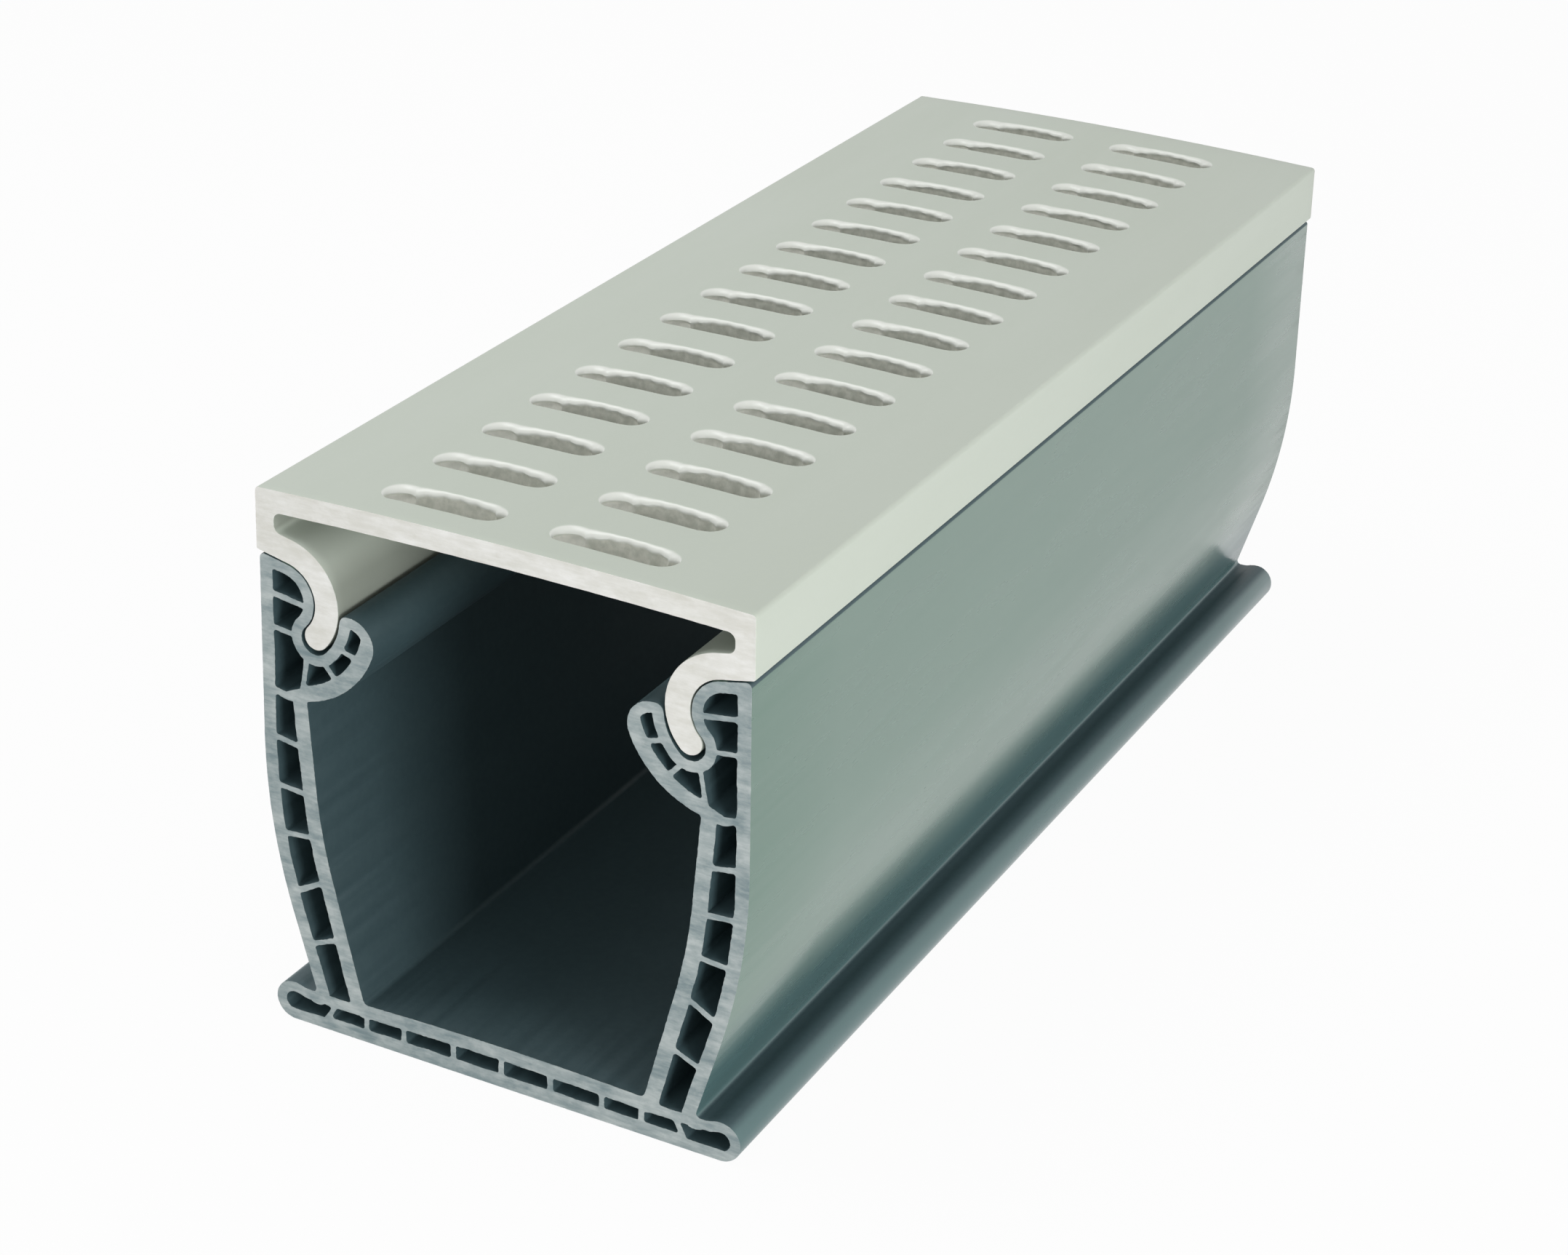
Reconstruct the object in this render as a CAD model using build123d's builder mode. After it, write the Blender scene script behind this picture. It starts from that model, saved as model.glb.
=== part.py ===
from build123d import *
import os
from math import asin, atan2, cos, degrees, radians, sin, tan

os.makedirs("parts", exist_ok=True)

# Millimetres. X runs across the drain, Y along it, Z up from the underside of the floor.

# Overall sizes
length = 264.0                # both extrusions are cut to the same length
cover_width = 98.0            # over the foot of the cover's side skirts
hook_centre_z = 86.9          # height of the centre about which the hook joint is turned

# Channel floor and side flanges
floor_thickness = 8.0
floor_crown = 0.6             # rise of the floor at its middle
flange_setback = 0.3          # flange tip inside the cover's edge
flange_valley_drop = 0.6      # dip of the flange beside the wall
flange_valley_run = 3.4       # width of the slope from the flange tip down to the dip

# Channel side walls, each a straight foot and a straight upper part with a wide bend
rim_setback = 0.6             # top rim inside the cover's edge
wall_bow = 0.3                # meeting point of the outer stretches outside the cover's edge
wall_foot_setback = 9.4
bore_foot_setback = 19.7
bore_knee_setback = 11.5
knee_share = 0.541            # height of the bend as a share of the wall, from the floor to the web
outer_bend_radius = 122.0
bore_bend_radius = 110.0
foot_fillet = 0.8
bore_fillet = 1.2

# Hook joint between cover and channel, turned about one centre
hook_inset = 5.0              # hook centre inside the cover's edge
hook_clearance = 0.25
hook_slope = 12.0             # degrees that the seat under the cover falls towards the middle
leg_inner_radius = 6.9        # side of the hook leg that faces the rim
leg_thickness = 4.8
toe_angle = 222.0             # direction of the middle of the leg's round toe
groove_reserve = 0.5          # free length of the groove past the toe
groove_sag = 0.2              # the groove's end lies this much further from the hook centre than the toe
lip_radius = 19.9             # outside of the hollow lip that holds the leg in
lip_root_angle = 257.0        # direction of the corner between lip and bore wall
lip_drop = 0.6                # lip top below the hook centre
lip_inner_fillet = 1.5
lip_outer_fillet = 5.0
lip_root_fillet = 0.6
rim_fillet = 1.0

# Skins between the chambers and the outside
least_skin = 2.15             # in the flange, under the rim, beside the groove and over the lip
outer_skin = 2.65
groove_skin = 2.5             # on the lip's side of the groove
lip_skin = 3.1
bore_skin = 3.05
floor_top_skin = 2.8
floor_bottom_skin = 2.85
flange_bottom_skin = 2.35

# Webs that part the chambers
rib = 1.15
wall_rib_shares = (0.835, 0.677, 0.524, 0.357, 0.18)
wall_rib_tilts = (9.0, 5.0, -5.0, -30.0, -23.0)
floor_rib_shares = (0.348, 0.71, 0.986)
flange_rib_setback = 12.4
flange_rib_tilt = 28.0
rim_rib_angle = 188.5
strut = 1.05                  # struts round the end of the groove
strut_places = (-2.0, -62.0, -110.0, -177.0)
strut_directions = (7.0, -80.0, -131.0, -164.0)
web_drop = 18.45              # lowest point of the sagging web below the hook centre
web_rise = 0.8                # height that the web climbs to the outer skin
web_gusset = 1.4              # distance that the web runs level before it meets the bore skin
web_bulge = 0.5               # added to the web's thickness at its lowest point

# Cover
cover_thickness = 4.3
cover_side_height = 11.8
cover_side_flare = 0.2        # each side leans out by this much on its way down
cover_crown = 0.9
skirt_thickness = 3.9
cover_edge_fillet = 0.8
cover_foot_fillet = 0.5
recess_fillet = 1.5

# Slots in the cover, two in each row, as many rows as the length takes
slot_pitch = 16.07
slot_length = 23.2
slot_width = 6.0
slot_gap = 10.4               # between the two slots of a row
first_row = 10.2              # from the front end to the middle of the first row

# Derived sizes
half_width = cover_width / 2
body_half_width = half_width + wall_bow
rim_half_width = half_width - rim_setback
flange_half_width = half_width - flange_setback
wall_foot_half_width = half_width - wall_foot_setback
bore_foot_half_width = half_width - bore_foot_setback
bore_knee_half_width = half_width - bore_knee_setback
hook_centre_x = half_width - hook_inset
web_low = hook_centre_z - web_drop
knee_height = floor_thickness + knee_share * (web_low - floor_thickness)
wall_rib_heights = [floor_thickness + share * (web_low - floor_thickness) for share in wall_rib_shares]
floor_rib_places = [share * bore_foot_half_width for share in floor_rib_shares]
flange_rib_place = half_width - flange_rib_setback
leg_outer_radius = leg_inner_radius + leg_thickness
leg_middle_radius = leg_inner_radius + leg_thickness / 2
rim_radius = leg_inner_radius - hook_clearance
groove_radius = leg_outer_radius + hook_clearance
groove_end_distance = leg_middle_radius + groove_sag
groove_end_radius = groove_end_distance - rim_radius
groove_end_angle = toe_angle + degrees(groove_reserve / leg_middle_radius)
flange_tip_radius = floor_thickness / 2
flange_tip_x = flange_half_width - flange_tip_radius
valley_height = floor_thickness - flange_valley_drop
seat_angle = 90 + hook_slope
hook_centre = (hook_centre_x, hook_centre_z)
whole = 2 * (hook_centre_z + cover_width)


def polar(centre, radius, angle):
    """Point at a distance and direction (degrees) from a centre."""
    return (centre[0] + radius * cos(radians(angle)), centre[1] + radius * sin(radians(angle)))


def on_seat(radius, x):
    """Point at x on the straight seat that runs on from the arc of this radius about the hook centre."""
    touch = polar(hook_centre, radius, seat_angle)
    return (x, touch[1] + (x - touch[0]) * tan(radians(hook_slope)))


def near(shapes, point):
    """Vertices on both sides of the middle that lie at this point of the right half."""
    return [shapes.sort_by_distance((side * point[0], point[1]))[0] for side in (1, -1)]


lip_top_angle = 180 + degrees(asin(lip_drop / lip_radius))
lip_inner_angle = 180 + degrees(asin(lip_drop / groove_radius))
lip_inner = polar(hook_centre, groove_radius, lip_inner_angle)
lip_outer = polar(hook_centre, lip_radius, lip_top_angle)
lip_root = polar(hook_centre, lip_radius, lip_root_angle)
groove_end = polar(hook_centre, groove_end_distance, groove_end_angle)
rim_corner = on_seat(rim_radius, rim_half_width)
wall_foot = (wall_foot_half_width, valley_height)
outer_knee = (body_half_width, knee_height)
bore_foot = (bore_foot_half_width, floor_thickness)
bore_knee = (bore_knee_half_width, knee_height)
floor_middle = (0, floor_thickness + floor_crown)

# Solid outline of the channel
with BuildSketch(Plane.XZ) as channel_outline:
    with BuildLine():
        Line((0, 0), (flange_tip_x, 0))
        CenterArc((flange_tip_x, flange_tip_radius), flange_tip_radius, -90, 180)
        slope_middle = (flange_tip_x - flange_valley_run / 2, floor_thickness - flange_valley_drop / 2)
        valley = (flange_tip_x - flange_valley_run, valley_height)
        TangentArc((flange_tip_x, floor_thickness), slope_middle, tangent=(-1, 0))
        TangentArc(valley, slope_middle, tangent=(1, 0))
        Line(valley, wall_foot)
        outer_wall = FilletPolyline(wall_foot, outer_knee, rim_corner, radius=outer_bend_radius)
        Line(rim_corner, polar(hook_centre, rim_radius, seat_angle))
        CenterArc(hook_centre, rim_radius, seat_angle, groove_end_angle - seat_angle)
        CenterArc(groove_end, groove_end_radius, groove_end_angle + 180, -180)
        TangentArc(
            polar(groove_end, groove_end_radius, groove_end_angle),
            lip_inner,
            tangent=polar((0, 0), 1, groove_end_angle - 90),
        )
        Line(lip_inner, lip_outer)
        lip_outside = CenterArc(hook_centre, lip_radius, lip_top_angle, lip_root_angle - lip_top_angle)
        bore_wall = FilletPolyline(lip_root, bore_knee, bore_foot, radius=bore_bend_radius)
        TangentArc(floor_middle, bore_foot, tangent=(1, 0))
        mirror(about=Plane.YZ)
    make_face()
    for corner, radius in (
        (rim_corner, rim_fillet),
        (lip_inner, lip_inner_fillet),
        (lip_outer, lip_outer_fillet),
        (lip_root, lip_root_fillet),
        (wall_foot, foot_fillet),
        (bore_foot, bore_fillet),
    ):
        fillet(near(channel_outline.vertices(), corner), radius)


def wall_middle(height):
    """Half width at the middle of the double side wall at this height."""
    knee_middle = (body_half_width + bore_knee_half_width) / 2
    if height < knee_height:
        foot_middle = (wall_foot_half_width + bore_foot_half_width) / 2
        share = (height - floor_thickness) / (knee_height - floor_thickness)
        return foot_middle + (knee_middle - foot_middle) * share
    root_middle = (body_half_width + lip_root[0]) / 2
    share = (height - knee_height) / (lip_root[1] - knee_height)
    return knee_middle + (root_middle - knee_middle) * share


# Chambers of the right half: the outline drawn in by its skins and parted by the webs
rib_reach = body_half_width - bore_foot_half_width
strut_roots = [polar(groove_end, groove_end_radius + least_skin / 2, place) for place in strut_places]
strut_reach = lip_radius - groove_radius
lip_strut_root = strut_roots[2]
lip_strut_angle = 360 + degrees(atan2(lip_strut_root[1] - hook_centre_z, lip_strut_root[0] - hook_centre_x))
chamber_roof = floor_thickness - floor_top_skin
flange_rib_foot = flange_rib_place + (flange_tip_radius - flange_bottom_skin) * tan(radians(flange_rib_tilt))
web_end = body_half_width - outer_skin / 2
with BuildSketch(Plane.XZ) as chambers:
    offset(channel_outline.sketch_local.face(), amount=-least_skin, mode=Mode.ADD)
    with Locations((rib / 2, 0)):
        Rectangle(whole, whole, align=(Align.MIN, Align.CENTER), mode=Mode.INTERSECT)
    Rectangle(2 * flange_rib_foot, 2 * floor_bottom_skin, mode=Mode.SUBTRACT)
    Rectangle(2 * flange_half_width, 2 * flange_bottom_skin, mode=Mode.SUBTRACT)
    with BuildLine():
        Polyline(
            floor_middle,
            bore_foot,
            (bore_foot_half_width, valley_height),
            wall_foot,
            (wall_foot_half_width, chamber_roof),
            (bore_foot_half_width, chamber_roof),
            (0, chamber_roof + floor_crown),
            close=True,
        )
    make_face(mode=Mode.SUBTRACT)
    with BuildLine():
        lip_inside = CenterArc(hook_centre, groove_radius, lip_inner_angle, lip_strut_angle - lip_inner_angle)
    for stretch, skin in (
        (outer_wall, outer_skin),
        (bore_wall, bore_skin),
        (lip_outside, lip_skin),
        (lip_inside, groove_skin),
    ):
        trace(stretch, line_width=2 * skin, mode=Mode.SUBTRACT)
    for foot, skin in ((wall_foot, outer_skin), (bore_foot, bore_skin)):
        with Locations(foot):
            Circle(skin, mode=Mode.SUBTRACT)
    for height, tilt in zip(wall_rib_heights, wall_rib_tilts):
        with Locations((wall_middle(height), height)):
            Rectangle(rib_reach, rib, rotation=tilt, mode=Mode.SUBTRACT)
    for place in floor_rib_places:
        with Locations((place, flange_tip_radius)):
            Rectangle(rib, floor_thickness, mode=Mode.SUBTRACT)
    with Locations((flange_rib_place, flange_tip_radius)):
        Rectangle(rib, floor_thickness - floor_top_skin, rotation=flange_rib_tilt, mode=Mode.SUBTRACT)
    with Locations(hook_centre):
        Rectangle(rib_reach, rib, rotation=rim_rib_angle, mode=Mode.SUBTRACT)
    for root, direction in zip(strut_roots, strut_directions):
        with Locations(polar(root, strut_reach / 2, direction)):
            Rectangle(strut_reach, strut, rotation=direction, mode=Mode.SUBTRACT)
    with BuildLine():
        Polyline(
            lip_root,
            polar(hook_centre, lip_radius - outer_skin, lip_root_angle),
            (hook_centre_x, web_low),
            (web_end, web_low + web_rise),
            (web_end, web_low + web_rise - rib),
            (hook_centre_x, web_low - rib - web_bulge),
            (hook_centre_x - web_gusset, web_low - rib - web_bulge),
            close=True,
        )
    make_face(mode=Mode.SUBTRACT)
    mirror(about=Plane.YZ)

with BuildPart() as channel_body:
    extrude(channel_outline.sketch, amount=length / 2, both=True)
    extrude(chambers.sketch, amount=length / 2, both=True, mode=Mode.SUBTRACT)


def crown_height(x):
    """Height of the cover's crowned top, a flat parabola across its width."""
    return cover_top - cover_crown * (x / cover_edge[0]) ** 2


# Section of the cover
cover_foot = on_seat(leg_inner_radius, half_width)
cover_edge = (half_width - cover_side_flare, cover_foot[1] + cover_side_height)
cover_top = cover_edge[1] + cover_crown
recess_end = half_width - skirt_thickness
recess_floor = on_seat(leg_outer_radius, recess_end)
recess_roof = (recess_end, crown_height(recess_end) - cover_thickness)
underside_top = cover_top - cover_thickness
toe = polar(hook_centre, leg_middle_radius, toe_angle)

with BuildSketch(Plane.XZ) as cover_section:
    with BuildLine():
        Bezier((0, cover_top), (cover_edge[0] / 2, cover_top), cover_edge)
        Line(cover_edge, cover_foot)
        Line(cover_foot, polar(hook_centre, leg_inner_radius, seat_angle))
        CenterArc(hook_centre, leg_inner_radius, seat_angle, toe_angle - seat_angle)
        CenterArc(toe, leg_thickness / 2, toe_angle + 180, -180)
        CenterArc(hook_centre, leg_outer_radius, toe_angle, seat_angle - toe_angle)
        Line(polar(hook_centre, leg_outer_radius, seat_angle), recess_floor)
        Line(recess_floor, recess_roof)
        Bezier(recess_roof, (recess_end / 2, underside_top), (0, underside_top))
        mirror(about=Plane.YZ)
    make_face()
    for corner, radius in (
        (cover_edge, cover_edge_fillet),
        (cover_foot, cover_foot_fillet),
        (recess_roof, recess_fillet),
        (recess_floor, recess_fillet),
    ):
        fillet(near(cover_section.vertices(), corner), radius)

# Cutter for one slot
with BuildPart() as slot_cutter:
    with BuildSketch(Plane.XY):
        SlotOverall(slot_length, slot_width)
    extrude(amount=2 * cover_thickness, both=True)

slot_rows = 1 + int((length - first_row - slot_width) / slot_pitch)
slot_middle = (slot_gap + slot_length) / 2
slot_lean = degrees(atan2(2 * (cover_top - crown_height(slot_middle)), slot_middle))
with BuildPart() as grate_cover:
    extrude(cover_section.sketch, amount=length / 2, both=True)
    for side in (1, -1):
        for row in range(slot_rows):
            place = (side * slot_middle, first_row + row * slot_pitch - length / 2, crown_height(slot_middle))
            with Locations(Location(place, (0, side * slot_lean, 0))):
                add(slot_cutter.part, mode=Mode.SUBTRACT)

# Labels and files
channel_body.part.label = "channel_body"
grate_cover.part.label = "grate_cover"
export_step(channel_body.part, "parts/channel_body.step")
export_step(grate_cover.part, "parts/grate_cover.step")
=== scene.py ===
import math

import bmesh
import bpy
import numpy as np
from mathutils import Matrix, Vector
from mathutils import noise as noise3
from mathutils.geometry import delaunay_2d_cdt


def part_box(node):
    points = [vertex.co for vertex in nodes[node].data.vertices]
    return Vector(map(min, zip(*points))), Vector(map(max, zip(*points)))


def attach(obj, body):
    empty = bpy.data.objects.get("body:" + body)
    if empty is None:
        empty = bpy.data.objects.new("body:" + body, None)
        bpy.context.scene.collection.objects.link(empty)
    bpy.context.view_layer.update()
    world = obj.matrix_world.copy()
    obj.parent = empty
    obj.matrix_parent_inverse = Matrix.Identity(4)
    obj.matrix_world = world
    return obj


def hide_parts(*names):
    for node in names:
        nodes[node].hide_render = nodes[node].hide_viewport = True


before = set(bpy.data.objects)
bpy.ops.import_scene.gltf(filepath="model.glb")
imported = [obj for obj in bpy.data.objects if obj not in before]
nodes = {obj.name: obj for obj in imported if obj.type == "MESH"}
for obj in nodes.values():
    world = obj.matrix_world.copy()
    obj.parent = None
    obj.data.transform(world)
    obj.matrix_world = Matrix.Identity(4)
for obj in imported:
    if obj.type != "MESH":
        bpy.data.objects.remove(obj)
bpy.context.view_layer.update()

mm = 0.001
half_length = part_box("grate_cover")[1].y
cover_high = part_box("grate_cover")[1]
wall_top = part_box("channel_body")[1].z

# Edges of a mesh that turn more than SHARP stay sharp. Points of an outline that turn more than CORNER_TURN
# are corners, which become rounds of CORNER_STEPS steps and take at most CORNER_SHARE of a run. Where one run
# is longer than the next by RUN_RATIO, it is a straight one that meets a curve.
SHARP = math.radians(38)
CORNER_TURN = math.radians(25)
CORNER_STEPS = 4
CORNER_SHARE = 0.4
RUN_RATIO = 1.3

# Distances in metres within which places count as one
WELD = 1e-6
COVER_WELD = 4e-7
AT_END = 1e-7

# Steps along the finer outlines and radii of their corners, in millimetres
CHANNEL_STEP = 0.5
CHANNEL_CORNER = 0.25
CHAMBER_CORNER = 0.45
COVER_STEP = 0.6
COVER_CORNER = 0.2

# Unevenness, in millimetres: how far it reaches and the size over which it varies
CHAMBER_WAVE = 0.14
CHAMBER_WAVE_SIZE = 3.5
SAW_INSET = 0.05
FINE_BURR = 0.04
COARSE_BURR = 0.1
NICK_SIZE = 0.45
LONG_NICK_SIZE = 1.7
LONG_NICK_SHARE = 0.6

# Seeds of the smooth noise
CHAMBER_SEED = 3.3
CHANNEL_SAW_SEED = 20
COVER_SAW_SEED = 40
LONG_NICK_SEED = 9
DENT_SEED = 7.7
ROW_SEED = 3.1
COLUMN_SEED = 57

# The channel, in metres: height of the bore's middle, reach of the lips, and depth of the band at the wall's
# top that meets the cover. The bore, the lips and that band take painted shade.
BORE_MIDDLE = 0.055
LIP_REACH = 0.041
SHADED_SEAM = 0.0008

# How fast a surface that turns away from the bore loses its painted shade
BORE_EDGE = 2.5

# Bands of faces along the channel, and the short band at each sawn end of either piece in millimetres
CHANNEL_BANDS = 8
CHANNEL_CUT_BAND = 0.2
COVER_CUT_BAND = 0.15

# The cover, in metres
COVER_CROWN = 0.0009
COVER_THICKNESS = 0.0043
SLOT_MIDDLE = 0.0168
FIRST_ROW = 0.0102

# The plate of the cover, in millimetres. Each slot has a cell of plate of its own, with ACROSS points on its
# long sides and ALONG points on its short ones. Only every COARSE-th of those goes on into the skirts. Points
# of the section count as the plate's up to PLATE_REACH beside its margin and PLATE_DEPTH below it.
PITCH = 16.07
ROWS = 16
CELL_HALF_X = 14.2
RIM_LENGTH = 24.9
RIM_WIDTH = 7.6
PLATE_MARGIN = 1.5
PLATE_REACH = 0.1
PLATE_DEPTH = 0.4
CELL_SLACK = 0.01
ACROSS = 28
ALONG = 16
COARSE = 4

# The edge that the punch tore, in millimetres from the middle of a slot. A draft is how much further in the
# edge lies at the underside than at the top.
FAR_LINE = 2.85
FAR_DRAFT = 0.4
FAR_PEAK = 0.6
LEFT_BULGE = 0.024
RIGHT_BULGE = 0.012
RIPPLE = 0.12
RIPPLE_RATE = 1.9
RIPPLE_SHIFT = 9
NEAR_LINE = -3.35
NEAR_DRAFT = 0.2
SCALLOP = 0.3
SCALLOP_START = 3.1
SCALLOP_PITCH = 6.8
LEFT_LINE = -6.4
RIGHT_LINE = 9.3
RIGHT_DRAFT = 0.4
LINE_BLEND = 0.3
END_BLEND = 0.7

# The two bores at the ends of a slot, in millimetres. The left one narrows like a funnel below FUNNEL_START.
LEFT_BORE = Vector((-8.3, -1.0))
LEFT_BORE_RADIUS = 2.9
FUNNEL_START = 0.15
FUNNEL_SHIFT = 1.3
FUNNEL_NARROWING = 1.2
RIGHT_BORE = Vector((10.0, -0.8))
RIGHT_BORE_RADIUS = 2.4
RIGHT_BORE_SHIFT = 0.3
RIGHT_BORE_NARROWING = 0.5

# The search for the torn edge from the rim inward, in millimetres
SEARCH_FROM = 0.12
SEARCH_TO = 6.0
SEARCH_STEPS = 197

# Rings of a cell: shares of the way from the border to the rim, angles of the rolled mouth in degrees, and
# shares of the depth of the wall
PLATE_SHARES = (0.0, 0.45, 0.88)
MOUTH_ANGLES = (0, 14, 28, 42, 56, 70, 84)
ROLLED_FROM = 28
DEPTHS = (0.0, 0.1, 0.22, 0.36, 0.52, 0.7, 0.88, 1.0)
UNDER_SHARE = 0.6

# How far the rolled mouth drops, in millimetres: a base and a share of its width, between two limits
MOUTH_BASE = 0.45
MOUTH_SHARE = 0.42
MOUTH_LEAST = 0.5
MOUTH_MOST = 1.35

# The wall, in millimetres: how far it lies behind the torn edge, and its unevenness
UNDERCUT = 0.22
WALL_GRAIN = 0.12
WALL_GRAIN_SIZE = 0.9
WALL_GRAIN_DRIFT = 3

# Left of PUNCH_END, in millimetres, the wall has this share of the rolled mouth's look: its painted highlight
# and its smoother gloss
PUNCH_END = -6.2
PUNCHED_SHINE = 0.5

# How much a slot differs from the others, in millimetres, and the size of the noise that it comes from
DENT = 0.35
DENT_SIZE = 0.37


def outline_length(loop):
    """Length of a closed outline."""
    return sum((a - b).length for a, b in zip(loop, loop[1:] + loop[:1]))


def cap_loops(obj):
    """Outlines (x, z) of a node's flat near end, each with the material on its left, the longest first."""
    mesh = bmesh.new()
    mesh.from_mesh(obj.data)
    bmesh.ops.remove_doubles(mesh, verts=mesh.verts, dist=WELD)
    near_end = min(v.co.y for v in mesh.verts)
    cap = [f for f in mesh.faces if all(abs(v.co.y - near_end) < WELD for v in f.verts)]
    in_cap = set(cap)
    follows = {}
    for face in cap:
        for corner in face.loops:
            if sum(other in in_cap for other in corner.edge.link_faces) == 1:
                follows[corner.vert] = corner.link_loop_next.vert
    loops = []
    while follows:
        vert, after = follows.popitem()
        loop = [vert]
        while after in follows:
            loop.append(after)
            after = follows.pop(after)
        loops.append([Vector((v.co.x, v.co.z)) for v in loop])
    mesh.free()
    return sorted(loops, key=outline_length, reverse=True)


def turned(direction, angle):
    """The direction turned anticlockwise."""
    return Matrix.Rotation(angle, 2) @ direction


def angle_between(a, b):
    """Angle from direction a to direction b, anticlockwise."""
    return math.atan2(a.x * b.y - a.y * b.x, a.dot(b))


def knots_of(loop, corner_radius):
    """Knots of a curve through an outline: place, direction, and whether a corner's round starts there."""
    count = len(loop)
    runs = [loop[(i + 1) % count] - loop[i] for i in range(count)]
    knots = []
    for i, point in enumerate(loop):
        before, after = runs[i - 1], runs[i]
        bend = angle_between(before, after)
        if abs(bend) > CORNER_TURN:
            room = CORNER_SHARE * min(before.length, after.length)
            cut = min(corner_radius * math.tan(abs(bend) / 2), room)
            knots.append((point - cut * before.normalized(), before.normalized(), True))
            knots.append((point + cut * after.normalized(), after.normalized(), False))
            continue
        share = 0.5
        if before.length > RUN_RATIO * after.length:
            share = 0.0
        elif after.length > RUN_RATIO * before.length:
            share = 1.0
        knots.append((point, turned(before.normalized(), bend * share), False))
    return knots


def finer(loop, spacing, corner_radius):
    """Closed outline with true curves between its points and small rounds at its corners."""
    knots = knots_of(loop, corner_radius)
    out = []
    for (start, along, is_corner), (end, onward, _) in zip(knots, knots[1:] + knots[:1]):
        chord = (end - start).length
        bend = abs(angle_between(along, onward))
        pull = chord * (2 * math.tan(bend / 4) / math.sin(bend / 2) if bend > 1e-4 else 1)
        steps = CORNER_STEPS if is_corner else max(1, math.ceil(chord / spacing))
        for step in range(steps):
            t = step / steps
            out.append(
                (2 * t**3 - 3 * t**2 + 1) * start + (t**3 - 2 * t**2 + t) * pull * along
                + (3 * t**2 - 2 * t**3) * end + (t**3 - t**2) * pull * onward
            )
    return out


def into_material(loop):
    """Unit direction into the material at each point of an outline."""
    count = len(loop)
    sides = []
    for i in range(count):
        along = (loop[(i + 1) % count] - loop[i - 1]).normalized()
        sides.append(Vector((-along.y, along.x)))
    return sides


def grain(x, y, seed, size):
    """Smooth random value from -1 to 1 that varies over the given size."""
    return noise3.noise(Vector((x / size, y / size, seed)))


def sawn(loop, seed, burrs):
    """The outline where the saw left it: a hair inside the edge, and uneven by the burr at each point."""
    out = []
    for point, side, burr in zip(loop, into_material(loop), burrs):
        nick = grain(point.x, point.y, seed, NICK_SIZE * mm)
        nick += LONG_NICK_SHARE * grain(point.x, point.y, seed + LONG_NICK_SEED, LONG_NICK_SIZE * mm)
        out.append(point + side * (SAW_INSET * mm + burr * nick))
    return out


def new_object(name, mesh):
    """Object made of a finished mesh, smooth but for its sharp edges."""
    data = bpy.data.meshes.new(name)
    mesh.to_mesh(data)
    mesh.free()
    data.shade_smooth()
    data.set_sharp_from_angle(angle=SHARP)
    obj = bpy.data.objects.new(name, data)
    bpy.context.scene.collection.objects.link(obj)
    return obj


def inside_outlines(points, starts, ends):
    """Whether each point lies inside an odd number of outlines, given all their edges."""
    x, y = points[:, :1], points[:, 1:]
    crosses = (starts[:, 1] > y) != (ends[:, 1] > y)
    rise = np.where(starts[:, 1] == ends[:, 1], 1, ends[:, 1] - starts[:, 1])
    at_x = starts[:, 0] + (y - starts[:, 1]) * (ends[:, 0] - starts[:, 0]) / rise
    return (crosses & (x < at_x)).sum(1) % 2 == 1


def fill_cap(mesh, loops):
    """Flat triangles inside the first outline and round the others."""
    verts = [v for loop in loops for v in loop]
    flat = [Vector((v.co.x, v.co.z)) / mm for v in verts]
    edges = []
    for loop in loops:
        first = len(edges)
        edges += [(first + i, first + (i + 1) % len(loop)) for i in range(len(loop))]
    _, _, triangles, sources, _, _ = delaunay_2d_cdt(flat, edges, [], 1, 1e-6)
    places = np.array([list(p) for p in flat])
    corners = np.array([[sources[i][0] for i in triangle] for triangle in triangles])
    starts, ends = places[[a for a, _ in edges]], places[[b for _, b in edges]]
    kept = inside_outlines(places[corners].mean(1), starts, ends)
    for triangle in corners[kept]:
        mesh.faces.new([verts[i] for i in triangle])


def faces_middle(loop):
    """1 where a surface looks to the middle of the bore, 0 where it looks away, and between at the turn."""
    out = []
    for point, side in zip(loop, into_material(loop)):
        to_middle = (Vector((0, BORE_MIDDLE)) - point).normalized()
        out.append(min(1.0, max(0.0, -BORE_EDGE * side.dot(to_middle))))
    return out


def faces_bore(loop):
    """Share of painted shade: 1 where the channel looks into the bore, has a lip or meets the cover, 0 on the
    outside.
    """
    out = []
    for point, value in zip(loop, faces_middle(loop)):
        is_lip = abs(point.x) < LIP_REACH and point.y > BORE_MIDDLE
        in_shaded_seam = point.y > wall_top - SHADED_SEAM
        out.append(1.0 if is_lip or in_shaded_seam else value)
    return out


def channel_outline(coarse, is_chamber):
    """An outline of the channel drawn finer, slightly uneven where it is a chamber."""
    if not is_chamber:
        return finer(coarse, CHANNEL_STEP * mm, CHANNEL_CORNER * mm)
    out = []
    loop = finer(coarse, CHANNEL_STEP * mm, CHAMBER_CORNER * mm)
    for p, side in zip(loop, into_material(loop)):
        wave = grain(p.x, p.y, CHAMBER_SEED, CHAMBER_WAVE_SIZE * mm)
        out.append(p + side * CHAMBER_WAVE * mm * wave)
    return out


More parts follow.
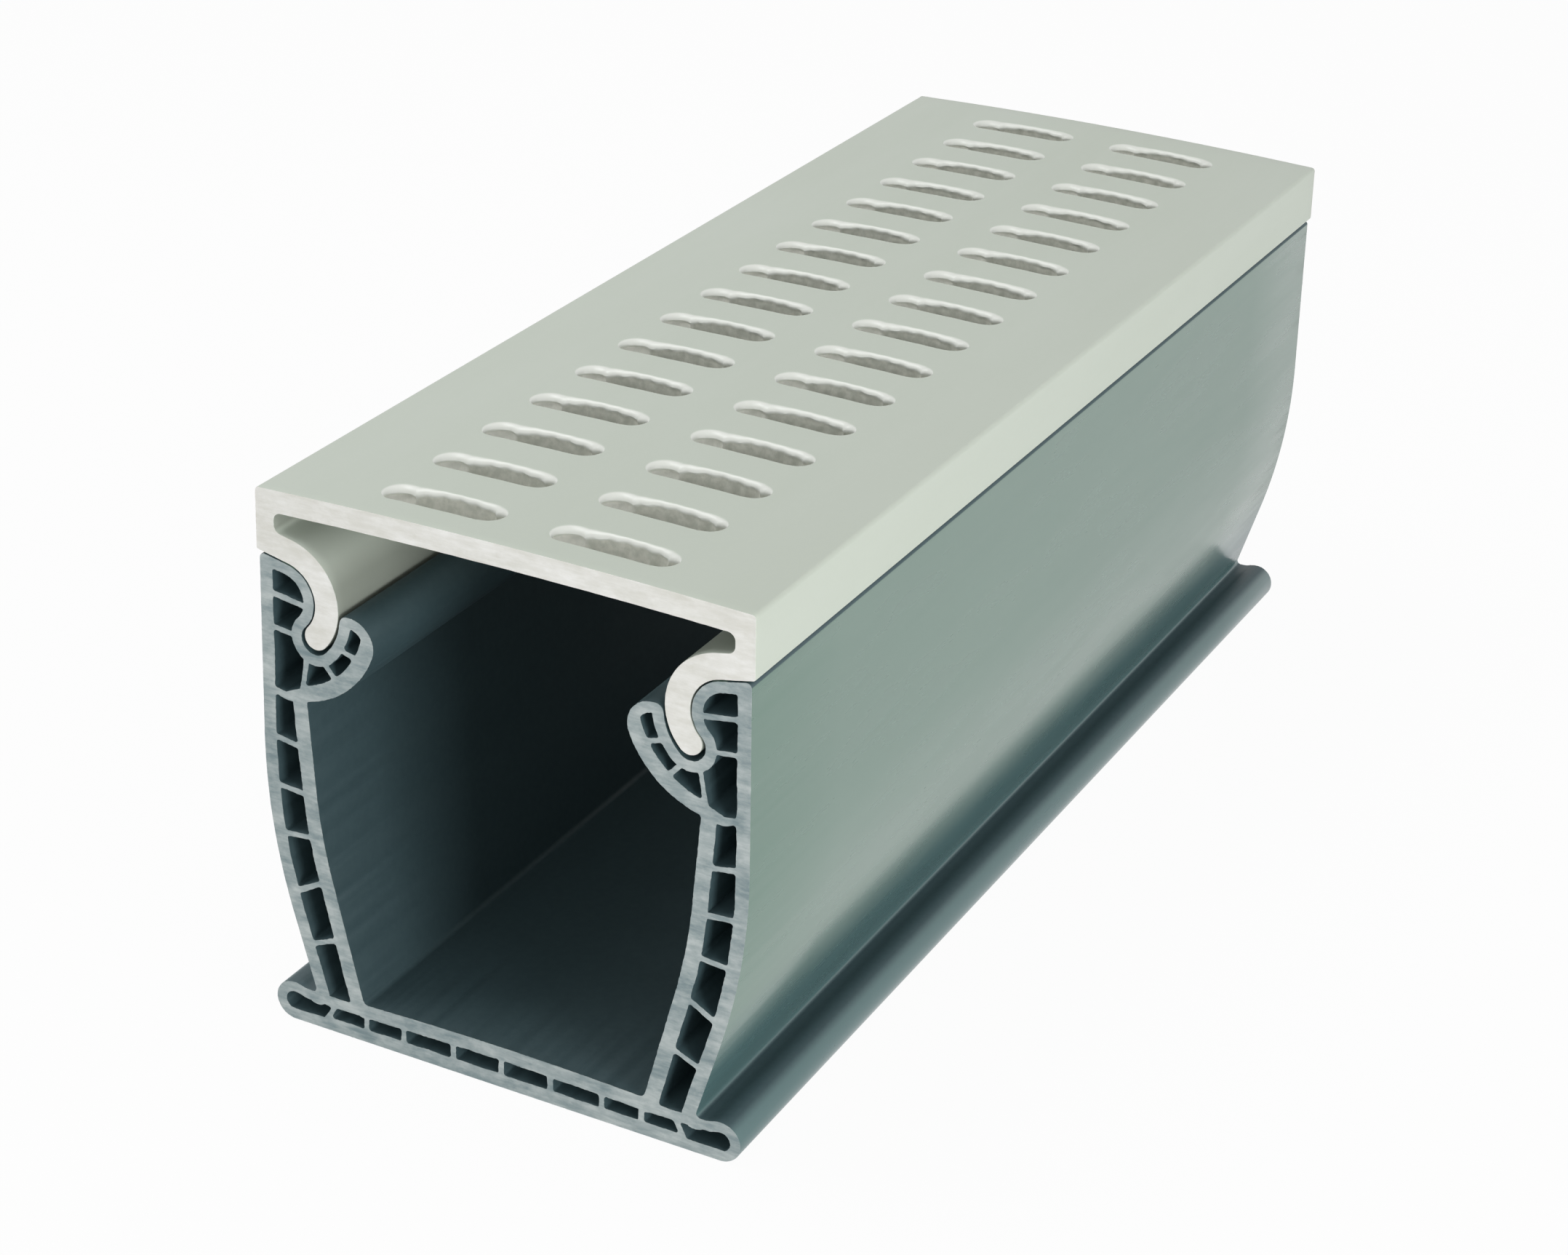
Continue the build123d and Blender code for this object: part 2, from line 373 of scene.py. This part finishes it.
def channel_mesh(node):
    """The channel with its section drawn finer: rounded, slightly uneven chambers and rough sawn ends."""
    mesh = bmesh.new()
    inside = mesh.verts.layers.float.new("inside")
    caps = {-1: [], 1: []}
    straight = half_length - CHANNEL_CUT_BAND * mm
    between = [-straight + t / CHANNEL_BANDS * 2 * straight for t in range(CHANNEL_BANDS + 1)]
    for index, coarse in enumerate(cap_loops(node)):
        is_chamber = index > 0
        loop = channel_outline(coarse, is_chamber)
        # How much painted shade each point takes: all of it in the chambers, and in the bore, on the lips and
        # at the band under the cover
        looks_in = [1.0] * len(loop) if is_chamber else faces_bore(loop)
        burrs = [(FINE_BURR + (COARSE_BURR - FINE_BURR) * value) * mm for value in looks_in]
        for end, cap in caps.items():
            edge = sawn(loop, CHANNEL_SAW_SEED + end, burrs)
            cap.append([mesh.verts.new((p.x, end * half_length, p.y)) for p in edge])
        middle = [[mesh.verts.new((p.x, y, p.y)) for p in loop] for y in between]
        rings = [caps[-1][-1]] + middle + [caps[1][-1]]
        for ring in rings:
            for vert, value in zip(ring, looks_in):
                vert[inside] = value
        count = len(loop)
        for near, far in zip(rings, rings[1:]):
            for i in range(count):
                mesh.faces.new((near[i], far[i], far[(i + 1) % count], near[(i + 1) % count]))
    for cap in caps.values():
        fill_cap(mesh, cap)
    bmesh.ops.recalc_face_normals(mesh, faces=mesh.faces)
    return new_object("channel", mesh)


def crown(x):
    """Height of the cover's top at x."""
    return cover_high.z - COVER_CROWN * (x / cover_high.x) ** 2


def soft_max(a, b, blend):
    """The greater of two distances, with a soft change from one to the other."""
    h = np.clip(0.5 + 0.5 * (a - b) / blend, 0, 1)
    return b + (a - b) * h + blend * h * (1 - h)


def torn_hole(x, y, depth, dent):
    """Rough distance in mm to the torn edge of a slot at a share of its depth, negative in the hole."""
    bulge = np.where(x < FAR_PEAK, LEFT_BULGE, RIGHT_BULGE)
    far = FAR_LINE + dent[0] - bulge * (x - FAR_PEAK) ** 2 - FAR_DRAFT * depth
    far = far + RIPPLE * np.sin(RIPPLE_RATE * x + RIPPLE_SHIFT * dent[2])
    scallops = np.abs(np.sin(math.pi * (x + SCALLOP_START + dent[1]) / SCALLOP_PITCH))
    near = NEAR_LINE - SCALLOP * scallops + NEAR_DRAFT * depth
    middle = soft_max(y - far, near - y, LINE_BLEND)
    ends = np.maximum(x - RIGHT_LINE + RIGHT_DRAFT * depth, LEFT_LINE - x)
    middle = soft_max(middle, ends, END_BLEND)
    funnel = max(0.0, depth - FUNNEL_START) / (1 - FUNNEL_START)
    left_radius = LEFT_BORE_RADIUS + dent[2] - FUNNEL_NARROWING * funnel
    left = np.hypot(x - LEFT_BORE.x - FUNNEL_SHIFT * funnel, y - LEFT_BORE.y) - left_radius
    right_radius = RIGHT_BORE_RADIUS - RIGHT_BORE_NARROWING * depth
    right = np.hypot(x - RIGHT_BORE.x + RIGHT_BORE_SHIFT * depth, y - RIGHT_BORE.y - dent[3]) - right_radius
    return np.minimum(np.minimum(middle, left), right)


def inset(rim, inward, depth, dent):
    """How far inside the rim, along each inward direction, the torn edge lies at this share of the depth."""
    steps = np.linspace(SEARCH_FROM, SEARCH_TO, SEARCH_STEPS)
    x = rim[:, :1] + inward[:, :1] * steps
    y = rim[:, 1:] + inward[:, 1:] * steps
    in_hole = torn_hole(x, y, depth, dent) < 0
    first = np.where(in_hole.any(1), in_hole.argmax(1), len(steps) - 1)
    return steps[first]


def around(half_x, half_y, round_ends):
    """Points round a slot from its far right: a rectangle, or a slot with round ends of radius half_y."""
    out = []
    straight = half_x - half_y if round_ends else half_x
    for side in (1, -1):
        for i in range(ACROSS):
            out.append((side * straight * (1 - 2 * i / ACROSS), side * half_y))
        for i in range(ALONG):
            share = i / ALONG
            if round_ends:
                angle = math.pi * share
                out.append((-side * (straight + half_y * math.sin(angle)), side * half_y * math.cos(angle)))
            else:
                out.append((-side * half_x, side * half_y * (1 - 2 * share)))
    return np.array(out)


def slot_rings(seed):
    """Rings of a cell from its border by the mouth and wall to the underside: kind, places, drops in mm."""
    cell = around(CELL_HALF_X, PITCH / 2, False)
    rim = around(RIM_LENGTH / 2, RIM_WIDTH / 2, True)
    straight = (RIM_LENGTH - RIM_WIDTH) / 2
    spine = np.stack([np.clip(rim[:, 0], -straight, straight), 0 * rim[:, 0]], 1)
    inward = (spine - rim) / np.linalg.norm(spine - rim, axis=1)[:, None]
    dent = [DENT * grain(seed, k, DENT_SEED, DENT_SIZE) for k in range(4)]
    insets = [inset(rim, inward, depth, dent) for depth in DEPTHS]
    mouth = np.clip(MOUTH_BASE + MOUTH_SHARE * insets[0], MOUTH_LEAST, MOUTH_MOST)
    thick = np.full(len(rim), COVER_THICKNESS / mm)

    rings = [("plate", cell * (1 - share) + rim * share, 0 * mouth) for share in PLATE_SHARES]
    for degrees in MOUTH_ANGLES:
        angle = math.radians(degrees)
        kind = "mouth" if degrees >= ROLLED_FROM else "plate"
        place = rim + inward * (insets[0] * math.sin(angle))[:, None]
        rings.append((kind, place, mouth * (1 - math.cos(angle))))
    for depth, reach in list(zip(DEPTHS, insets))[1:]:
        rough = np.array([grain(p[0], p[1] + WALL_GRAIN_DRIFT * depth, seed, WALL_GRAIN_SIZE) for p in rim])
        place = rim + inward * (reach - UNDERCUT + WALL_GRAIN * rough * (depth < 1))[:, None]
        rings.append(("wall", place, mouth + (thick - mouth) * depth))
    last = rings[-1][1]
    rings.append(("under", last * (1 - UNDER_SHARE) + cell * UNDER_SHARE, thick))
    rings.append(("under", cell, thick))
    return rings


def slot_cell(mesh, centre_x, centre_y, seed):
    """One slot with the piece of plate round it: soft rolled mouth, torn walls, square lower edge."""
    inside = mesh.verts.layers.float["inside"]
    rolled = mesh.verts.layers.float["rolled"]
    under = mesh.verts.layers.float["under"]
    rings = []
    for kind, places, drops in slot_rings(seed):
        ring = []
        for (x, y), drop in zip(places, drops):
            at = centre_x + x * mm
            vert = mesh.verts.new((at, centre_y + y * mm, crown(at) - drop * mm))
            # The mouth, and partly the punched wall, take the painted highlight
            is_punched = kind == "wall" and x < PUNCH_END
            vert[rolled] = 1.0 if kind == "mouth" else PUNCHED_SHINE * is_punched
            vert[inside] = float(kind == "wall")
            # The underside takes painted shade
            vert[under] = float(kind == "under")
            ring.append(vert)
        rings.append(ring)
    for upper, lower in zip(rings, rings[1:]):
        count = len(upper)
        for i in range(count):
            mesh.faces.new((upper[i], upper[(i + 1) % count], lower[(i + 1) % count], lower[i]))


def grid(mesh, rows, under_values):
    """Quads between rows of positions of equal length, with a share of painted shade in each column."""
    under = mesh.verts.layers.float["under"]
    verts = [[mesh.verts.new(p) for p in row] for row in rows]
    for row in verts:
        for vert, value in zip(row, under_values):
            vert[under] = value
    for a, b in zip(verts, verts[1:]):
        for i in range(len(a) - 1):
            mesh.faces.new((a[i], a[i + 1], b[i + 1], b[i]))


def plate_lines():
    """The plate's top and underside in section, with a point at each border point of the cells."""
    outer_x = SLOT_MIDDLE + CELL_HALF_X * mm + PLATE_MARGIN * mm
    borders = [side * (SLOT_MIDDLE + step * CELL_HALF_X * mm * 2 / ACROSS) for side in (1, -1)
               for step in range(-ACROSS // 2, ACROSS // 2 + 1)]
    plate_xs = sorted(set(round(x, 9) for x in borders))
    top = [Vector((x, crown(x))) for x in [-outer_x] + plate_xs + [outer_x]]
    under = [Vector((p.x, p.y - COVER_THICKNESS)) for p in top]
    return top, under


def side_parts(outline, top, under):
    """The outline left and right of the plate, each joined to the plate's top and underside."""
    plate_reach = top[-1].x + PLATE_REACH * mm
    plate_depth = COVER_THICKNESS + PLATE_DEPTH * mm

    def in_plate(p):
        return abs(p.x) < plate_reach and p.y > crown(p.x) - plate_depth

    start = next(i for i, p in enumerate(outline) if in_plate(outline[i - 1]) and not in_plate(p))
    parts, part = [], []
    for p in outline[start:] + outline[:start]:
        if not in_plate(p):
            part.append(p)
        elif part:
            parts.append(part)
            part = []
    if part:
        parts.append(part)
    left = next(part for part in parts if part[0].x < 0)
    right = next(part for part in parts if part[0].x > 0)
    return [top[0]] + left + [under[0]], [under[-1]] + right + [top[-1]]


def cover_mesh(node):
    """The cover: extruded skirts and legs, and a crowned plate made of one cell for each slot."""
    top, under = plate_lines()
    left, right = side_parts(finer(cap_loops(node)[0], COVER_STEP * mm, COVER_CORNER * mm), top, under)
    section = left + under[1:-1] + right + top[-2:0:-1]
    cut_place = {}
    for end in (-1, 1):
        edge = sawn(section, COVER_SAW_SEED + end, [FINE_BURR * mm] * len(section))
        for p, q in zip(section, edge):
            cut_place[(round(p.x, 8), round(p.y, 8), end)] = q

    def at(p, y):
        """Position of a section point at y, moved to the sawn edge at the ends."""
        if abs(abs(y) - half_length) < AT_END:
            p = cut_place[(round(p.x, 8), round(p.y, 8), 1 if y > 0 else -1)]
        return (p.x, y, p.y)

    slot_ys = [-half_length + FIRST_ROW + i * PITCH * mm for i in range(ROWS)]
    first, last = slot_ys[0] - PITCH * mm / 2, slot_ys[-1] + PITCH * mm / 2
    fine = [first + i * PITCH * mm / ALONG for i in range(ALONG * ROWS + 1)]
    coarse = fine[::COARSE]
    near_end = [-half_length, -half_length + COVER_CUT_BAND * mm]
    far_end = [half_length - COVER_CUT_BAND * mm, half_length]

    mesh = bmesh.new()
    for layer in ("inside", "rolled", "under"):
        mesh.verts.layers.float.new(layer)
    # Faces of the legs and skirts that look to the middle take painted shade
    looks_in = {(p.x, p.y): value for p, value in zip(section, faces_middle(section))}
    for part in (left, right):
        values = [looks_in[(p.x, p.y)] for p in part]
        grid(mesh, [[at(p, y) for p in part] for y in near_end + coarse + far_end], values)
    for line in (top, under):
        # The plate's underside takes painted shade
        values = [float(line is under)] * len(line)
        for ys in (near_end + [first], [last] + far_end):
            grid(mesh, [[at(p, y) for p in line] for y in ys], values)
        inner = [p for p in line if abs(p.x) < SLOT_MIDDLE - (CELL_HALF_X - CELL_SLACK) * mm]
        grid(mesh, [[at(p, y) for p in inner] for y in fine], values)
        for edge, rim in ((line[0], line[1]), (line[-1], line[-2])):
            for i in range(len(coarse) - 1):
                strip = [mesh.verts.new(at(rim, y)) for y in fine[COARSE * i:COARSE * (i + 1) + 1]]
                strip += [mesh.verts.new(at(edge, y)) for y in (coarse[i + 1], coarse[i])]
                mesh.faces.new(strip)
    for column in (-1, 1):
        for index, y in enumerate(slot_ys):
            slot_cell(mesh, column * SLOT_MIDDLE, y, ROW_SEED * index + COLUMN_SEED * column)
    for end in (-1, 1):
        fill_cap(mesh, [[mesh.verts.new(at(p, end * half_length)) for p in section]])
    bmesh.ops.remove_doubles(mesh, verts=mesh.verts, dist=COVER_WELD)
    bmesh.ops.recalc_face_normals(mesh, faces=mesh.faces)
    return new_object("cover", mesh)


# Noise patterns in object space, in metres: scale, detail, roughness, stretch, and tilt about Y in degrees
TONE = (18, 3, 0.55, (1, 0.25, 1), 0)
PEBBLE = (900, 2, 0.6, (1, 1, 1), 0)
PATCHES = (750, 4, 0.6, (1, 1, 1), 0)
STREAKS = (90, 6, 0.65, (0.5, 0, 1.8), 24)
SCRATCHES = (480, 4, 0.65, (0.3, 0, 2.0), -14)
BLOTCHES = (230, 5, 0.65, (0.8, 0, 1.2), 30)
GLOSS_PATCHES = (140, 4, 0.6, (1, 0.15, 1), 0)
DIE_LINES = (260, 3, 0.5, (1, 0.02, 1), 0)
PEEL = (700, 2, 0.5, (1, 1, 1), 0)

# Between which noise values each pattern goes from none to full
TONE_RANGE = (0.35, 0.65)
PEBBLE_RANGE = (0.4, 0.7)
PATCH_RANGE = (0.4, 0.62)
STREAK_RANGE = (0.4, 0.62)
FINE_MARK_RANGE = (0.42, 0.6)
GLOSS_RANGE = (0.3, 0.7)

# Colour: how much each mark counts, the rolled mouth's painted highlight among them, and the heights in
# metres between which the painted shade at the foot fades out
PEBBLE_SHARE = 0.05
ROLLED_HIGHLIGHT_SHARE = 0.55
STREAK_SHARE = 0.4
SCRATCH_SHARE = 0.25
BLOTCH_SHARE = 0.35
FOOT_SHADE_RANGE = (0.016, 0.03)

# Distances from the end, in metres, at which the saw-cut look starts and is full
CUT_START = 0.00006
CUT_FULL = 0.00002

# Gloss, and relief as weights of the patterns in one bump
INSIDE_ROUGHER = 0.3
ROLLED_SMOOTHER = 0.06
CUT_ROUGHNESS = (0.5, 0.68)
DIE_LINE_HEIGHT = 0.06
PEEL_HEIGHT = 0.03
SCRATCH_HEIGHT = 1.6
STREAK_HEIGHT = 2.0
BUMP_STRENGTH = 0.35
BUMP_DISTANCE = 0.00004
PLASTIC_IOR = 1.52
COAT_ROUGHNESS = 0.12


def tree(material):
    """Emptied node tree of a material and its new output node."""
    material.use_nodes = True
    nt = material.node_tree
    nt.nodes.clear()
    out = nt.nodes.new("ShaderNodeOutputMaterial")
    return nt, out


def feed(nt, socket, value):
    """Link an output to a socket, or set the socket to a plain value."""
    if hasattr(value, "is_output"):
        nt.links.new(value, socket)
    else:
        socket.default_value = value


def add(nt, kind, **sockets):
    """New node with the named inputs fed."""
    node = nt.nodes.new(kind)
    for key, value in sockets.items():
        feed(nt, node.inputs[key.replace("_", " ")], value)
    return node


def maths(nt, operation, *values, clamp=False):
    """Result of a Math node."""
    node = nt.nodes.new("ShaderNodeMath")
    node.operation = operation
    node.use_clamp = clamp
    for socket, value in zip(node.inputs, values):
        feed(nt, socket, value)
    return node.outputs[0]


def mix(nt, factor, a, b):
    """Colour from a at factor 0 to b at factor 1."""
    node = nt.nodes.new("ShaderNodeMix")
    node.data_type = "RGBA"
    for socket, value in ((node.inputs[0], factor), (node.inputs[6], a), (node.inputs[7], b)):
        feed(nt, socket, value)
    return node.outputs[2]


def either(nt, share, a, b):
    """Value from b at share 0 to a at share 1."""
    rest = maths(nt, "SUBTRACT", 1.0, share)
    return maths(nt, "ADD", maths(nt, "MULTIPLY", share, a), maths(nt, "MULTIPLY", rest, b))


def noise(nt, where, scale, detail, roughness, stretch, tilt):
    """Value of a noise pattern."""
    mapping = nt.nodes.new("ShaderNodeMapping")
    nt.links.new(where, mapping.inputs["Vector"])
    mapping.inputs["Rotation"].default_value = (0, math.radians(tilt), 0)
    mapping.inputs["Scale"].default_value = stretch
    place = mapping.outputs[0]
    node = add(nt, "ShaderNodeTexNoise", Vector=place, Scale=scale, Detail=detail, Roughness=roughness)
    return node.outputs["Fac"]


def ramp(nt, value, low, high, to_low=0.0, to_high=1.0):
    """The value's way from low to high, as a value from to_low to to_high."""
    goal = {"To_Min": to_low, "To_Max": to_high}
    return add(nt, "ShaderNodeMapRange", Value=value, From_Min=low, From_Max=high, **goal).outputs["Result"]


def coordinate(nt, where, axis):
    """One coordinate of a place: 0 for x, 1 for y, 2 for z."""
    return add(nt, "ShaderNodeSeparateXYZ", Vector=where).outputs[axis]


def saw_cut(nt, where):
    """1 on the sawn ends, 0 on the surfaces that the die left."""
    from_middle = maths(nt, "ABSOLUTE", coordinate(nt, where, 1))
    return ramp(nt, from_middle, half_length - CUT_START, half_length - CUT_FULL)


def painted(nt, name):
    """Value that the mesh holds at each vertex, 0 where it has none."""
    node = nt.nodes.new("ShaderNodeAttribute")
    node.attribute_name = name
    return node.outputs["Fac"]


def skin_paint(nt, where, skin, painted_foot_shade, painted_under_shade, bore_shade_and_tear_colour, painted_highlight):
    """Colour of what the die left, with painted shade at the foot, underneath and in the channel's bore, the
    torn walls' paler colour in the cover's slots, and a painted highlight where rolled.
    """
    tone = ramp(nt, noise(nt, where, *TONE), *TONE_RANGE)
    pebble = ramp(nt, noise(nt, where, *PEBBLE), *PEBBLE_RANGE)
    patches = ramp(nt, noise(nt, where, *PATCHES), *PATCH_RANGE)
    colour = mix(nt, tone, skin[0], skin[1])
    colour = mix(nt, maths(nt, "MULTIPLY", pebble, PEBBLE_SHARE), colour, skin[2])
    # Painted shade: darker and bluer towards the foot
    colour = mix(nt, ramp(nt, coordinate(nt, where, 2), *FOOT_SHADE_RANGE), painted_foot_shade, colour)
    # Painted shade underneath
    colour = mix(nt, painted(nt, "under"), colour, painted_under_shade)
    # Inside: painted shade in the channel's bore and chambers, and the torn walls' paler colour in the
    # cover's slots
    colour = mix(nt, painted(nt, "inside"), colour, mix(nt, patches, bore_shade_and_tear_colour[0], bore_shade_and_tear_colour[1]))
    # Painted highlight on the rolled mouths
    return mix(nt, maths(nt, "MULTIPLY", painted(nt, "rolled"), ROLLED_HIGHLIGHT_SHARE), colour, painted_highlight)


def plastic(name, skin, painted_foot_shade, painted_under_shade, bore_shade_and_tear_colour, cut, cut_pale, gloss, coat):
    """Extruded plastic with a smooth drawn skin and streaky saw-cut ends."""
    material = bpy.data.materials.new(name)
    nt, out = tree(material)
    where = nt.nodes.new("ShaderNodeTexCoord").outputs["Object"]
    cut_mask = saw_cut(nt, where)
    streaks = noise(nt, where, *STREAKS)
    scratches = noise(nt, where, *SCRATCHES)
    blotches = noise(nt, where, *BLOTCHES)

    marks = maths(nt, "ADD", maths(nt, "MULTIPLY", ramp(nt, streaks, *STREAK_RANGE), STREAK_SHARE),
                  maths(nt, "MULTIPLY", ramp(nt, scratches, *FINE_MARK_RANGE), SCRATCH_SHARE))
    blotch_marks = maths(nt, "MULTIPLY", ramp(nt, blotches, *FINE_MARK_RANGE), BLOTCH_SHARE)
    marks = maths(nt, "ADD", marks, blotch_marks, clamp=True)
    # The saw cut's pale colour serves as the painted highlight of the rolled mouths
    skin_colour = skin_paint(nt, where, skin, painted_foot_shade, painted_under_shade, bore_shade_and_tear_colour, cut_pale)
    colour = mix(nt, cut_mask, skin_colour, mix(nt, marks, cut, cut_pale))

    skin_rough = ramp(nt, noise(nt, where, *GLOSS_PATCHES), *GLOSS_RANGE, *gloss)
    rougher = maths(nt, "MULTIPLY", painted(nt, "inside"), INSIDE_ROUGHER)
    smoother = maths(nt, "MULTIPLY", painted(nt, "rolled"), ROLLED_SMOOTHER)
    skin_rough = maths(nt, "SUBTRACT", maths(nt, "ADD", skin_rough, rougher), smoother)
    rough = either(nt, cut_mask, ramp(nt, marks, 0, 1, *CUT_ROUGHNESS), skin_rough)

    skin_height = maths(nt, "ADD", maths(nt, "MULTIPLY", noise(nt, where, *DIE_LINES), DIE_LINE_HEIGHT),
                        maths(nt, "MULTIPLY", noise(nt, where, *PEEL), PEEL_HEIGHT))
    cut_height = maths(nt, "ADD", maths(nt, "MULTIPLY", scratches, SCRATCH_HEIGHT),
                       maths(nt, "MULTIPLY", streaks, STREAK_HEIGHT))
    height = either(nt, cut_mask, cut_height, skin_height)
    bump = add(nt, "ShaderNodeBump", Strength=BUMP_STRENGTH, Distance=BUMP_DISTANCE, Height=height)

    shader = add(nt, "ShaderNodeBsdfPrincipled", Base_Color=colour, Roughness=rough, Normal=bump.outputs[0])
    shader.inputs["IOR"].default_value = PLASTIC_IOR
    shader.inputs["Coat Roughness"].default_value = COAT_ROUGHNESS
    drawn = maths(nt, "SUBTRACT", 1.0, maths(nt, "MAXIMUM", cut_mask, painted(nt, "inside")))
    nt.links.new(maths(nt, "MULTIPLY", drawn, coat), shader.inputs["Coat Weight"])
    nt.links.new(shader.outputs[0], out.inputs[0])
    return material


channel_plastic = plastic(
    "channel_plastic",
    skin=((0.116, 0.19, 0.155, 1), (0.126, 0.203, 0.165, 1), (0.15, 0.23, 0.19, 1)),
    # Painted shade: darker and bluer towards the foot
    painted_foot_shade=(0.074, 0.14, 0.142, 1),
    painted_under_shade=(0.033, 0.064, 0.073, 1),
    # Painted shade in the bore, the chambers, on the lips and at the band under the cover
    bore_shade_and_tear_colour=((0.033, 0.064, 0.073, 1), (0.037, 0.07, 0.079, 1)),
    cut=(0.18, 0.245, 0.258, 1),
    cut_pale=(0.53, 0.58, 0.57, 1),
    gloss=(0.25, 0.32),
    coat=0.18,
)
cover_plastic = plastic(
    "cover_plastic",
    skin=((0.5, 0.55, 0.475, 1), (0.52, 0.57, 0.5, 1), (0.6, 0.63, 0.58, 1)),
    painted_foot_shade=(0.5, 0.55, 0.475, 1),
    # Painted shade on the underside and on the legs' inner faces
    painted_under_shade=(0.33, 0.36, 0.31, 1),
    bore_shade_and_tear_colour=((0.55, 0.57, 0.495, 1), (0.66, 0.67, 0.59, 1)),
    cut=(0.7, 0.695, 0.635, 1),
    cut_pale=(0.9, 0.9, 0.87, 1),
    gloss=(0.42, 0.5),
    coat=0.05,
)


def dress(obj, material):
    """Give an object one material."""
    obj.data.materials.clear()
    obj.data.materials.append(material)


channel = channel_mesh(nodes["channel_body"])
cover = cover_mesh(nodes["grate_cover"])
for piece, node, body, slot, material in (
    (channel, "channel_body", "channel", "channel_plastic", channel_plastic),
    (cover, "grate_cover", "cover", "cover_plastic", cover_plastic),
):
    dress(piece, material)
    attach(piece, body)
    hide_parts(node)

bpy.context.scene.view_settings.view_transform = "Standard"

# The camera at the photograph's view: place, and directions to the right, up and back
CAMERA_PLACE = Vector((0.27011, -0.55894, 0.34278))
CAMERA_RIGHT = Vector((0.88493, 0.46477, 0.0297))
CAMERA_UP = Vector((-0.22981, 0.38031, 0.89585))
CAMERA_BACK = Vector((0.40507, -0.7996, 0.44336))
CAMERA_LENS = 76.997
CAMERA_SENSOR = 36


def place_camera():
    """Camera that sees the object as the photograph does."""
    data = bpy.data.cameras.new("camera")
    data.lens = CAMERA_LENS
    data.sensor_width = CAMERA_SENSOR
    data.sensor_fit = "HORIZONTAL"
    camera = bpy.data.objects.new("camera", data)
    bpy.context.scene.collection.objects.link(camera)
    columns = (CAMERA_RIGHT, CAMERA_UP, CAMERA_BACK, CAMERA_PLACE)
    camera.matrix_world = Matrix([[column[row] for column in columns] for row in range(3)] + [[0, 0, 0, 1]])
    bpy.context.scene.camera = camera


# Surroundings: the world's light on the object, and the floor's colour, glow, size and height in metres
WHITE = (1, 1, 1, 1)
WORLD_LIGHT = 0.32
FLOOR_COLOUR = (0.68, 0.68, 0.68, 1)
FLOOR_GLOW = 0.96
FLOOR_REACH = 4.0
FLOOR_HEIGHT = -0.0002


def seen_as_background(nt):
    """1 for camera, glossy and transmission rays."""
    path = nt.nodes.new("ShaderNodeLightPath")
    first = maths(nt, "MAXIMUM", path.outputs["Is Camera Ray"], path.outputs["Is Glossy Ray"])
    return maths(nt, "MAXIMUM", first, path.outputs["Is Transmission Ray"])


def light_world():
    """World that is white for the camera and in reflections, and a plain level for diffuse light."""
    world = bpy.data.worlds.new("world")
    bpy.context.scene.world = world
    world.use_nodes = True
    nt = world.node_tree
    nt.nodes.clear()
    out = nt.nodes.new("ShaderNodeOutputWorld")
    level = ramp(nt, seen_as_background(nt), 0, 1, WORLD_LIGHT, 1.0)
    background = add(nt, "ShaderNodeBackground", Color=WHITE, Strength=level)
    nt.links.new(background.outputs[0], out.inputs[0])


def lay_floor():
    """Pale floor that is nearly white for the camera and keeps a faint shadow."""
    mesh = bpy.data.meshes.new("floor")
    corners = [(FLOOR_REACH * x, FLOOR_REACH * y, 0) for x, y in ((-1, -1), (1, -1), (1, 1), (-1, 1))]
    mesh.from_pydata(corners, [], [(0, 1, 2, 3)])
    floor = bpy.data.objects.new("floor", mesh)
    floor.location.z = FLOOR_HEIGHT
    bpy.context.scene.collection.objects.link(floor)
    material = bpy.data.materials.new("floor")
    nt, out = tree(material)
    diffuse = add(nt, "ShaderNodeBsdfDiffuse", Color=FLOOR_COLOUR)
    glow = add(nt, "ShaderNodeEmission", Color=WHITE, Strength=1.0)
    blend = nt.nodes.new("ShaderNodeMixShader")
    nt.links.new(maths(nt, "MULTIPLY", seen_as_background(nt), FLOOR_GLOW), blend.inputs[0])
    nt.links.new(diffuse.outputs[0], blend.inputs[1])
    nt.links.new(glow.outputs[0], blend.inputs[2])
    nt.links.new(blend.outputs[0], out.inputs[0])
    dress(floor, material)


# Soft boxes: name, place, width and height in metres, and power in watts. All point at LIGHT_AIM.
LIGHT_AIM = Vector((0, 0, 0.05))
SOFT_BOXES = (
    ("overhead", (-0.36, -0.12, 0.85), 0.4, 0.4, 3.1),
    ("left", (-0.9, -0.3, 0.8), 0.6, 0.6, 0.8),
    ("side", (1.15, -0.1, 0.5), 0.9, 0.6, 4),
    ("low side", (0.8, -0.45, 0.1), 0.3, 0.3, 4.2),
    ("front", (0, -1.2, 0.35), 0.6, 0.5, 3),
)


def soft_box(name, place, width, height, power):
    """Rectangular lamp that points at the object."""
    data = bpy.data.lights.new(name, "AREA")
    data.shape = "RECTANGLE"
    data.size = width
    data.size_y = height
    data.energy = power
    lamp = bpy.data.objects.new(name, data)
    bpy.context.scene.collection.objects.link(lamp)
    lamp.location = place
    lamp.rotation_euler = (LIGHT_AIM - Vector(place)).to_track_quat("-Z", "Y").to_euler()


place_camera()
light_world()
lay_floor()
for lamp in SOFT_BOXES:
    soft_box(*lamp)
